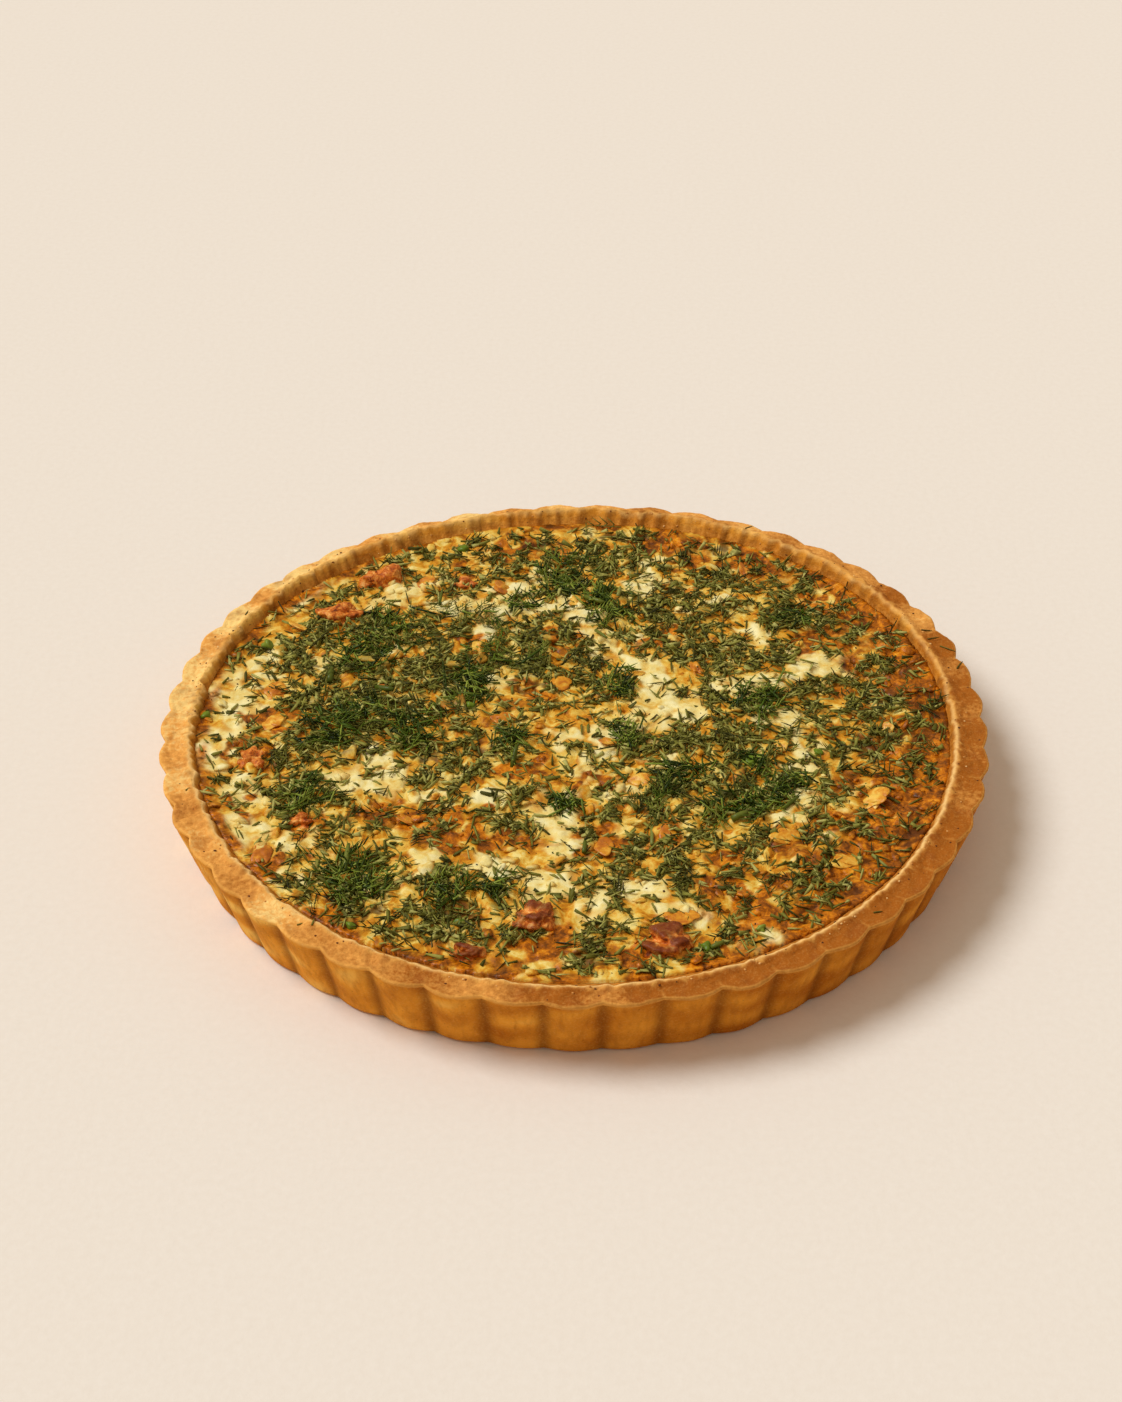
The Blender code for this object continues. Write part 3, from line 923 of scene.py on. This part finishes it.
def cut_custard():
    """A fine grid cut to a disc, then closed with a wall and a face below."""
    deselect_all()
    cells = FILL_CELLS
    bpy.ops.mesh.primitive_grid_add(x_subdivisions=cells, y_subdivisions=cells, size=2 * FILL_REACH)
    custard = start("custard")
    points = coordinates(custard.data)
    edge_radius = fill_edge(angle_of(points[:, 0], points[:, 1])) + FILL_OVERLAP
    outside = np.hypot(points[:, 0], points[:, 1]) > edge_radius
    bpy.ops.object.mode_set(mode="EDIT")
    bpy.ops.mesh.select_mode(type="VERT")
    bpy.ops.mesh.select_all(action="DESELECT")
    bpy.ops.object.mode_set(mode="OBJECT")
    custard.data.vertices.foreach_set("select", outside)
    bpy.ops.object.mode_set(mode="EDIT")
    bpy.ops.mesh.delete(type="VERT")
    bpy.ops.mesh.select_all(action="SELECT")
    bpy.ops.mesh.region_to_loop()
    extrude(0.0, 0.0, -1.0)
    bpy.ops.mesh.edge_face_add()
    leave_edit()
    return custard


def paint_filling(mesh, x, y):
    """What the custard's finish reads, at these places from the middle of the case."""
    fields = {"cream": creaminess, "brown": brownness, "char": charring, "herb": herbiness}
    for name, field in fields.items():
        paint(mesh, name, field(x, y))


def make_custard():
    """The filling: the cut disc with its edge made round and its top raised into curds."""
    custard = cut_custard()
    mesh = custard.data
    points = coordinates(mesh)
    x, y, below = points[:, 0], points[:, 1], points[:, 2] < -0.5
    angle = angle_of(x, y)
    edge_radius = fill_edge(angle) + FILL_OVERLAP
    radius = np.hypot(x, y)
    # The cut leaves the edge in steps of a cell, so its points are drawn out towards the pastry.
    step = 2 * FILL_REACH / FILL_CELLS
    rim = radius > edge_radius - 1.1 * step
    new_radius = np.where(rim, edge_radius - 0.35 * (edge_radius - radius), radius)
    x, y = new_radius * np.cos(angle), new_radius * np.sin(angle)
    height = np.where(below, FILL_LEVEL - FILL_DEPTH, fill_height(x, y))
    x = np.where(below, x * FILL_TAPER, x)
    y = np.where(below, y * FILL_TAPER, y)
    set_coordinates(mesh, np.stack([x, y, height], 1) + np.array(HOME))
    paint_filling(mesh, x, y)
    mesh.materials.append(custard_finish())
    mesh.shade_smooth()
    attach(custard, "root")
    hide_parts("filling")
    return custard


def make_salmon():
    """Each flake: a ball pressed into a torn lump with the layers of the fish."""
    look = salmon_finish()
    names = sorted(name for name in frame["nodes"] if name.startswith("salmon_"))
    for number, name in enumerate(names):
        low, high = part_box(name)
        middle, size = (low + high) / 2, (high - low) / 2
        deselect_all()
        bpy.ops.mesh.primitive_ico_sphere_add(subdivisions=5, radius=1.0)
        flake = start("baked_" + name)
        points = coordinates(flake.data)
        # Blockier than a ball, then cut into ledges where the layers of the fish came apart.
        points = np.sign(points) * np.abs(points) ** 0.86
        tilt = 0.5 + 0.9 * number
        along = points[:, 0] * math.cos(tilt) + points[:, 1] * math.sin(tilt) + 0.55 * points[:, 2]
        across = -points[:, 0] * math.sin(tilt) + points[:, 1] * math.cos(tilt)
        wobble = waves(across, points[:, 2], 0.55, 90 + number)
        layer = along * 2.0 + 0.55 * wobble
        band = np.abs(np.mod(layer, 1.0) - 0.5) * 2
        ledge = np.floor(layer)
        step_up = np.random.default_rng(100 + number).uniform(-1, 1, 40)[(ledge + 20).astype(int)]
        torn = waves(points[:, 0], points[:, 1] + points[:, 2], 0.62, 120 + number)
        ragged = waves(points[:, 0] - points[:, 2], points[:, 1], 0.24, 140 + number)
        swell = 1 + 0.05 * step_up - 0.07 * smooth(band, 0.80, 1.0) + 0.15 * torn + 0.03 * ragged
        # The oven caught the flakes towards -Y the most.
        caught = 0.15 + 0.85 * smooth(-middle.y, 70 * MM, 85 * MM)
        crown = np.clip(points[:, 2] - 0.1, 0, 1) * (0.6 + 0.5 * torn) * caught
        points = points * swell[:, None]
        points = np.clip(points / np.percentile(np.abs(points), 97, axis=0), -1, 1)
        points = points * np.array(size) * 0.99 + np.array(middle)
        set_coordinates(flake.data, points)
        paint(flake.data, "band", 1 - band)
        paint(flake.data, "crown", crown)
        flake.data.materials.append(look)
        flake.data.shade_smooth()
        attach(flake, "root")
        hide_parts(name)


def finish_scatter(thing, material):
    thing.data.materials.append(material)
    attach(thing, "root")
    return thing


def make_dill():
    """Dull dried dill all over, in drifts, and fresh green thickets; returns the finishes used again."""
    draw = np.random.default_rng(2024)
    straight = strand("straight", 2, tip=0.3)
    bowed = strand("bowed", 2, tip=0.3, bend=0.35)
    hooked = strand("hooked", 3, tip=0.3, bend=0.9, arch=0.1)
    sprig = frond("sprig", 4, 0.15, 0.25)
    plume = frond("plume", 5, 0.45, -0.3)
    scrap = leaf_scrap("scrap", 0.8)
    curl = leaf_scrap("curl", -0.6)

    dull = herb_finish(
        "dull_dill",
        (0.0, 72, 70, 14), (0.35, 114, 110, 34), (0.7, 154, 148, 62),
        (1.0, 196, 188, 106),
    )
    dark = herb_finish(
        "dark_dill",
        (0.0, 48, 48, 8), (0.5, 88, 86, 22), (1.0, 134, 128, 50), roughness=0.5,
    )
    fresh = herb_finish(
        "fresh_dill",
        (0.0, 32, 44, 2), (0.5, 74, 96, 12), (1.0, 156, 168, 62), roughness=0.42,
    )

    for name, count, models, length, width, lift, pitch, look in (
        ("dull_shreds", 5000, [straight, bowed], (2.4, 6.4), (0.48, 0.95), 0.7, 0.16, dull),
        ("dark_shreds", 2500, [straight, bowed, hooked], (2.4, 6.6), (0.32, 0.62), 1.1, 0.14, dark),
        ("leaf_scraps", 4200, [scrap, curl], (2.4, 5.4), (0.8, 1.8), 0.7, 0.22, dull),
        ("dull_sprigs", 520, [sprig], (5.0, 10.0), (5.0, 9.0), 0.9, 0.08, dark),
    ):
        x, y = random_places(draw, count, herbiness)
        finish_scatter(lay(name, models, draw, x, y, length, width, lift * MM, pitch), look)

    xs, ys = [], []
    for east, north, reach in THICKETS:
        count = int(1.6 * reach)
        away = draw.uniform(0, 1, count) ** 0.7 * reach * 0.95 * MM
        way = draw.uniform(0, math.tau, count)
        xs.append(east * MM + away * np.cos(way))
        ys.append(north * MM + away * np.sin(way))
    x, y = np.concatenate(xs), np.concatenate(ys)
    thing = lay("fresh_plumes", [plume, sprig], draw, x, y, (6.0, 12.0), (6.0, 10.0), 1.8 * MM, 0.24)
    finish_scatter(thing, fresh)
    # Three loose shreds fall near each plume.
    repeat = 3
    x = np.repeat(x, repeat) + draw.normal(0, 1.8 * MM, repeat * len(x))
    y = np.repeat(y, repeat) + draw.normal(0, 1.8 * MM, repeat * len(y))
    models = [straight, bowed, hooked]
    thing = lay("fresh_shreds", models, draw, x, y, (3.0, 8.5), (0.46, 0.78), 1.6 * MM, 0.26)
    finish_scatter(thing, fresh)
    discard([straight, bowed, hooked, sprig, plume, scrap, curl])
    return dark, fresh


def evenly(share):
    """For random_places: this share of the spots that it tries are kept, wherever they are."""
    return lambda x, y: np.full_like(x, share)


def columns(rows):
    """Turns rows of numbers into one array for each column."""
    return [np.array(column, dtype=float) for column in zip(*rows)]


def make_peas():
    """Small green beads, half sunk in the custard."""
    draw = np.random.default_rng(310)
    models = [lump("pea", 311, 3, 0.12), lump("pea", 312, 3, 0.15)]
    x, y, radius = columns(PEAS)
    size = 1.6 * radius[:, None] * MM * np.array([1.0, 0.86, 0.80])
    turn = draw.uniform(0, math.tau, len(x))
    thing = set_down("peas", models, draw, x * MM, y * MM, turn, size, 0.10 * radius * MM)
    green = herb_finish(
        "pea_green", (0.0, 86, 108, 18), (0.5, 112, 134, 34), (1.0, 140, 152, 58), roughness=0.35
    )
    thing.data.shade_smooth()
    finish_scatter(thing, green)
    discard(models)


def make_stems():
    """Short lengths of cut green stem."""
    draw = np.random.default_rng(320)
    models = [
        strand("stem", 3, tip=0.7, bend=0.10, arch=0.08, sides=7),
        strand("stem", 3, tip=0.6, bend=-0.14, arch=0.05, sides=7),
    ]
    x, y, length, width, turn = columns(STEMS)
    turn = np.radians(turn)
    east, north = x * MM - 0.5 * length * MM * np.cos(turn), y * MM - 0.5 * length * MM * np.sin(turn)
    size = np.stack([length, width, width], 1) * MM
    thing = set_down("stems", models, draw, east, north, turn, size, 0.9 * MM, tilt=0.06)
    green = herb_finish(
        "stem_green", (0.0, 70, 82, 14), (0.5, 112, 118, 40), (1.0, 150, 148, 74), roughness=0.4
    )
    thing.data.shade_smooth()
    finish_scatter(thing, green)
    discard(models)


def make_cheese():
    """Half-melted bits of cheese, sunk in the custard, some of them browned."""
    draw = np.random.default_rng(330)
    models = [lump("cheese_bit", 331 + number, 4, 0.20) for number in range(4)]
    x, y, length, width, turn = columns(CHEESE)
    size = np.stack([2 * length, 2 * width, 0.8 + 0.24 * width], 1) * MM
    thing = set_down("cheese", models, draw, x * MM, y * MM, np.radians(turn), size, 0.25 * MM, tilt=0.08)
    look = Finish("melted_cheese", 0.38, 0.4)
    melt = look.noise(3.2 * MM, 4, 0.6, 0.5)
    gold = look.ramp(
        look.weighed(melt, 0.8, look.painted("tone"), 0.2),
        (0.36, 242, 194, 80), (0.48, 226, 152, 30), (0.60, 196, 110, 12),
        (0.74, 160, 80, 8),
    )
    look.colour(gold)
    look.bump(look.noise(1.2 * MM, 4, 0.6), 0.25 * MM, 0.5)
    thing.data.shade_smooth()
    finish_scatter(thing, look.material)
    discard(models)


def make_long_sprigs(fresh):
    """Whole sprigs of dill laid along their own lines, with leaflets on both sides."""
    draw = np.random.default_rng(340)
    stalk = strand("stalk", 2, tip=0.9, sides=5)
    leaflets = [frond("leaflet", 3, 0.2, 0.3), frond("leaflet", 4, 0.25, -0.25)]
    rows, leaves = [], []
    for line in LONG_SPRIGS:
        for (x0, y0), (x1, y1) in zip(line, line[1:]):
            heading, length = math.atan2(y1 - y0, x1 - x0), math.hypot(x1 - x0, y1 - y0)
            rows.append((x0, y0, heading, 1.08 * length))
            for share in (0.15, 0.55, 0.9):
                for side in (-1, 1):
                    leaves.append((x0 + share * (x1 - x0), y0 + share * (y1 - y0), heading + side * 0.8))
    x, y, turn, length = columns(rows)
    size = np.stack([length, 0 * length + 0.75, 0 * length + 0.75], 1) * MM
    thing = set_down("sprig_stalks", [stalk], draw, x * MM, y * MM, turn, size, 1.3 * MM, tilt=0.03)
    finish_scatter(thing, fresh)
    x, y, turn = columns(leaves)
    reach = draw.uniform(3.2, 5.6, len(x))[:, None] * MM * np.ones(3)
    turn = turn + draw.normal(0, 0.2, len(x))
    thing = set_down("sprig_leaflets", leaflets, draw, x * MM, y * MM, turn, reach, 1.3 * MM, tilt=0.2)
    finish_scatter(thing, fresh)
    discard([stalk] + leaflets)


def make_curds(look):
    """Low lumps of set egg that break the surface, in the same stuff as the custard round them."""
    draw = np.random.default_rng(370)
    models = [lump("curd", 371 + number, 2, 0.20) for number in range(4)]
    x, y = random_places(draw, 620, evenly(0.5))
    across = draw.gamma(4.0, 0.80, len(x)).clip(1.6, 6.5)
    size = np.stack([across, across * draw.uniform(0.55, 0.9, len(x)), 0.6 + 0.22 * across], 1) * MM
    thing = set_down("curds", models, draw, x, y, draw.uniform(0, math.tau, len(x)), size, 0.05 * MM)
    points = coordinates(thing.data) - np.array(HOME)
    paint_filling(thing.data, points[:, 0], points[:, 1])
    thing.data.shade_smooth()
    finish_scatter(thing, look)
    discard(models)


def make_pepper():
    """Grains of cracked pepper all over the filling."""
    draw = np.random.default_rng(350)
    models = [lump("peppercorn", 351, 1, 0.15), lump("peppercorn", 352, 1, 0.2)]
    x, y = random_places(draw, 420, evenly(0.8))
    size = draw.uniform(0.3, 0.8, len(x))[:, None] * MM * np.array([1.0, 0.85, 0.6])
    thing = set_down("pepper", models, draw, x, y, draw.uniform(0, math.tau, len(x)), size, 0.1 * MM)
    black = herb_finish(
        "cracked_pepper", (0.0, 34, 22, 8), (0.5, 66, 40, 14), (1.0, 108, 66, 22), roughness=0.6
    )
    finish_scatter(thing, black)
    discard(models)


def on_pastry(case, angle, radius):
    """Points on the case's top at these angles and radii, and which of them were found."""
    tree = BVHTree.FromObject(case, bpy.context.evaluated_depsgraph_get())
    points, found = [], []
    for turn, reach in zip(angle, radius):
        wide = reach * (1 + float(roundness(turn)))
        start_point = Vector((wide * math.cos(turn), wide * math.sin(turn), 0.05)) + HOME
        hit = tree.ray_cast(start_point, Vector((0.0, 0.0, -1.0)))[0]
        found.append(hit is not None)
        points.append(tuple(hit - HOME) if hit is not None else (0.0, 0.0, 0.0))
    return np.array(points), np.array(found)


SPECK_LOOK = ((0.0, 70, 34, 10), (0.5, 112, 58, 18), (1.0, 150, 88, 34))
CRUMB_LOOK = ((0.0, 206, 138, 66), (0.5, 232, 172, 96), (1.0, 248, 204, 136))
# Name, how many, how far from the middle, how big in millimetres, seed, colours.
RIM_BITS = (
    ("rim_specks", 90, (0.1140, 0.1215), (0.35, 0.95), 361, SPECK_LOOK),
    ("rim_crumbs", 110, (0.1155, 0.1185), (0.35, 1.0), 362, CRUMB_LOOK),
)
# Dill that fell on the rim: its angle in degrees, how far from the middle and how long in millimetres,
# and its turn in degrees.
RIM_DILL = (
    (-129, 119.0, 4.5, 20), (-127, 117.5, 3.0, 80), (19, 119.5, 5.5, -35), (21, 117.0, 4.0, 15),
    (13, 120.5, 4.6, 60), (24, 118.0, 3.4, -10), (62, 118.5, 3.0, 30), (152, 118.0, 2.6, 75),
    (-48, 119.0, 2.6, 10), (-163, 118.0, 2.8, 50),
)


def make_rim_bits(case, dark):
    """What lies on the pastry: a few bits of dill, dark specks and loose crumbs."""
    draw = np.random.default_rng(360)
    angle, radius, length, turn = columns(RIM_DILL)
    points, found = on_pastry(case, np.radians(angle), radius * MM)
    twigs = [strand("twig", 3, tip=0.3, bend=0.5, arch=0.06), strand("twig", 3, tip=0.3, bend=-0.3)]
    flat = np.stack([np.cos(np.radians(turn)), np.sin(np.radians(turn)), 0 * turn], 1)
    side = np.stack([-flat[:, 1], flat[:, 0], 0 * turn], 1)
    up = np.cross(flat, side)
    size = np.stack([length, 0 * length + 0.55, 0 * length + 0.55], 1) * MM
    places = points + up * 0.25 * MM
    thing = scatter(
        "rim_dill", twigs, places[found], np.stack([flat, side, up], 2)[found], size[found],
        draw.uniform(0, 1, found.sum()), np.arange(found.sum()) % 2,
    )
    finish_scatter(thing, dark)

    for name, count, span, across, seed, look in RIM_BITS:
        angle, radius = draw.uniform(-math.pi, math.pi, count), draw.uniform(*span, count)
        points, found = on_pastry(case, angle, radius)
        models = [lump("bit", seed, 1, 0.2), lump("bit", seed + 10, 1, 0.25)]
        size = draw.uniform(*across, count)[:, None] * MM * np.array([1.0, 0.8, 0.55])
        spin = draw.uniform(0, math.tau, count)
        turns = np.array([Matrix.Rotation(one, 3, "Z") for one in spin])
        thing = scatter(
            name, models, points[found], turns[found], size[found], draw.uniform(0, 1, found.sum()),
            np.arange(found.sum()) % 2,
        )
        finish_scatter(thing, herb_finish(name, *look, roughness=0.7))
        discard(models)
    discard(twigs)


def set_stage():
    """A plain pale floor, a soft key from the left and behind, and even light from all round."""
    deselect_all()
    bpy.ops.mesh.primitive_plane_add(size=8.0, location=(0.0, 0.0, 0.0))
    floor = start("floor")
    look = Finish("pale_floor", 0.9, 0.1)
    grain = look.noise(2.2 * MM, 3, 0.6)
    look.colour(look.mix(grain, linear(236, 225, 214), linear(243, 234, 225)))
    look.bump(grain, 0.25 * MM, 0.3)
    floor.data.materials.append(look.material)

    key = bpy.data.lights.new("key", "SUN")
    key.angle = math.radians(28)
    key.energy = 2.25
    key.color = (0.94, 0.98, 1.0)
    lamp = bpy.data.objects.new("key", key)
    bpy.context.scene.collection.objects.link(lamp)
    lamp.location = (-0.60, 0.11, 0.80)
    lamp.rotation_euler = (-lamp.location).to_track_quat("-Z", "Y").to_euler()

    world = bpy.data.worlds.new("studio")
    bpy.context.scene.world = world
    world.use_nodes = True
    tree = world.node_tree
    light = tree.nodes["Background"]
    light.inputs["Color"].default_value = linear(255, 239, 214)
    light.inputs["Strength"].default_value = 0.46
    seen = tree.nodes.new("ShaderNodeBackground")
    seen.inputs["Color"].default_value = linear(238, 225, 208)
    path = tree.nodes.new("ShaderNodeLightPath")
    swap = tree.nodes.new("ShaderNodeMixShader")
    tree.links.new(path.outputs["Is Camera Ray"], swap.inputs["Fac"])
    tree.links.new(light.outputs["Background"], swap.inputs[1])
    tree.links.new(seen.outputs["Background"], swap.inputs[2])
    tree.links.new(swap.outputs["Shader"], tree.nodes["World Output"].inputs["Surface"])


CAMERA_PLACE = Vector((-0.0046, -0.5965, HEIGHT + 0.4326))
LOOK_DOWN = 35.49  # degrees below level


def set_camera():
    """The camera stands towards -Y and looks down on the quiche."""
    lens = bpy.data.cameras.new("camera")
    lens.sensor_width = 36.0
    lens.lens = 63.63
    camera = bpy.data.objects.new("camera", lens)
    bpy.context.scene.collection.objects.link(camera)
    camera.location = CAMERA_PLACE + HOME
    camera.rotation_euler = (math.radians(90 - LOOK_DOWN), 0.0, 0.0)
    bpy.context.scene.camera = camera


set_camera()
set_stage()
pastry_case = make_case()
custard = make_custard()
make_salmon()
dark_dill, fresh_dill = make_dill()
make_long_sprigs(fresh_dill)
make_peas()
make_stems()
make_cheese()
make_curds(custard.data.materials[0])
make_pepper()
make_rim_bits(pastry_case, dark_dill)

bpy.context.scene.view_settings.view_transform = "Standard"
